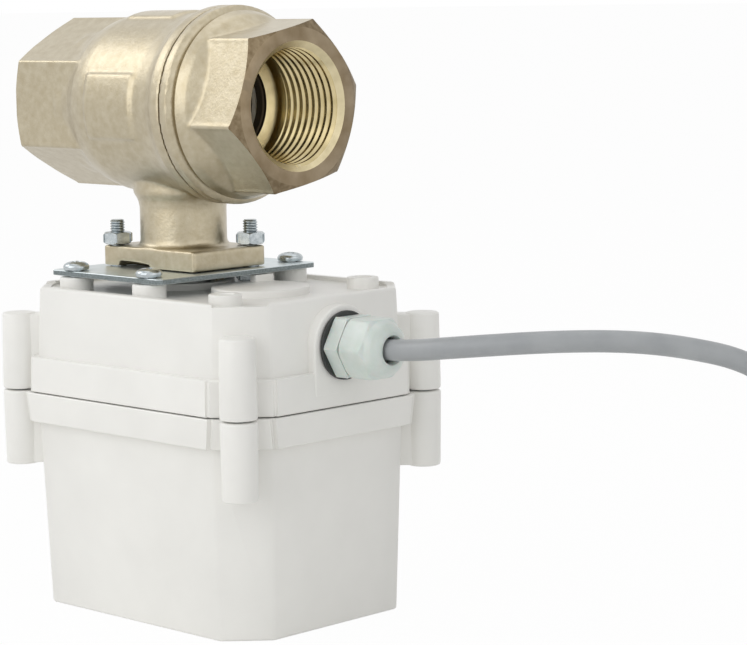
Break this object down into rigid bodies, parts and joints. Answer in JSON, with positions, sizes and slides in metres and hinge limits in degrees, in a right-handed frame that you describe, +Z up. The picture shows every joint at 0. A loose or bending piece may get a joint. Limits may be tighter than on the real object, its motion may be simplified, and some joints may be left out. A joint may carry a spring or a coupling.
{
  "type": "motorized ball valve",
  "caption": "Two-piece brass ball valve with threaded ports, turned a quarter turn by a gear motor in a white case bolted below it, with a cable through a gland.",
  "frame": {"origin": "centre of the stem axis on the flat bottom face of the actuator case", "axes": "+Z up along the stem axis, +X along the pipe axis out of the end cap, on the side of the cable gland, +Y completes the right-handed frame"},
  "size_m": [0.2882, 0.126, 0.1616],
  "materials": {
    "nickel_brass": "nickel-plated cast brass, satin",
    "bright_ball": "chrome-plated and polished",
    "bare_brass": "turned, satin",
    "white_seal": "PTFE, waxy white",
    "zinc_steel": "bright zinc plated",
    "white_case": "white moulded ABS, fine satin",
    "black_rubber": "matt",
    "sintered_gear": "sintered steel, dull",
    "acetal_gear": "natural acetal",
    "motor_metal": "plated steel can",
    "black_plastic": "moulded, satin",
    "board_green": "lacquered board",
    "relay_blue": "moulded, glossy",
    "terminal_green": "moulded, satin",
    "gland_nylon": "pale grey-white nylon, semi-gloss",
    "cable_sheath": "grey PVC, satin",
    "core_brown": "PVC insulation",
    "core_black": "PVC insulation",
    "core_grey": "PVC insulation",
    "core_blue": "PVC insulation",
    "core_green": "PVC insulation"
  },
  "bodies": {
    "housing": {"valve_body": "nickel_brass", "end_cap": "nickel_brass", "seat_ring_near": "white_seal", "seat_ring_far": "white_seal", "cap_seal": "white_seal", "thrust_washer": "white_seal", "adapter_plate": "zinc_steel", "flange_bolt_left": "zinc_steel", "flange_bolt_right": "zinc_steel", "flange_nut_left": "zinc_steel", "flange_nut_right": "zinc_steel", "plate_screw_1": "zinc_steel", "plate_screw_2": "zinc_steel", "plate_screw_3": "zinc_steel", "plate_screw_4": "zinc_steel", "upper_case": "white_case", "lower_case": "white_case", "case_gasket": "black_rubber", "case_screw_1": "zinc_steel", "case_screw_2": "zinc_steel", "case_screw_3": "zinc_steel", "case_screw_4": "zinc_steel", "shaft_bush": "bare_brass", "middle_axle": "zinc_steel", "gearhead": "motor_metal", "drive_motor": "motor_metal", "gear_plate": "zinc_steel", "gear_plate_screw_1": "zinc_steel", "gear_plate_screw_2": "zinc_steel", "gear_plate_screw_3": "zinc_steel", "gear_plate_screw_4": "zinc_steel", "limit_switch_open": "black_plastic", "limit_switch_shut": "black_plastic", "circuit_board": "board_green", "relay": "relay_blue", "capacitor": "black_plastic", "terminal_block": "terminal_green", "gland_washer": "black_rubber", "gland_body": "gland_nylon", "gland_lock_nut": "gland_nylon", "gland_seal": "black_rubber", "gland_dome_nut": "gland_nylon", "cable": "cable_sheath", "cable_coil": "cable_sheath", "core_brown": "core_brown", "core_black": "core_black", "core_grey": "core_grey", "core_blue": "core_blue", "core_green": "core_green", "inner_lead": "cable_sheath"},
    "valve_train": {"output_shaft": "zinc_steel", "output_gear": "sintered_gear", "limit_cam": "black_plastic", "stem": "bare_brass", "stem_seal_lower": "black_rubber", "stem_seal_upper": "black_rubber", "ball": "bright_ball"},
    "middle_gear_body": {"middle_gear": "acetal_gear"},
    "motor_drive": {"motor_shaft": "zinc_steel", "motor_pinion": "bare_brass"}
  },
  "joints": [
    {"name": "valve_turn", "type": "hinge", "parent": "housing", "child": "valve_train", "pos_m": [0, 0, 0.1353], "axis": [0, 0, 1], "range_deg": [0, 90]},
    {"name": "middle_gear_turn", "type": "hinge", "parent": "housing", "child": "middle_gear_body", "pos_m": [0.02599, -0.009, 0.0646], "axis": [0, 0, 1], "range_deg": [-360, 0]},
    {"name": "motor_turn", "type": "hinge", "parent": "housing", "child": "motor_drive", "pos_m": [0.03096, 0.01345, 0.0606], "axis": [0, 0, 1], "range_deg": [0, 1296]}
  ],
  "couplings": [
    {"joint": "middle_gear_turn", "follows": "valve_turn", "ratio": -4},
    {"joint": "motor_turn", "follows": "valve_turn", "ratio": 14.4}
  ]
}
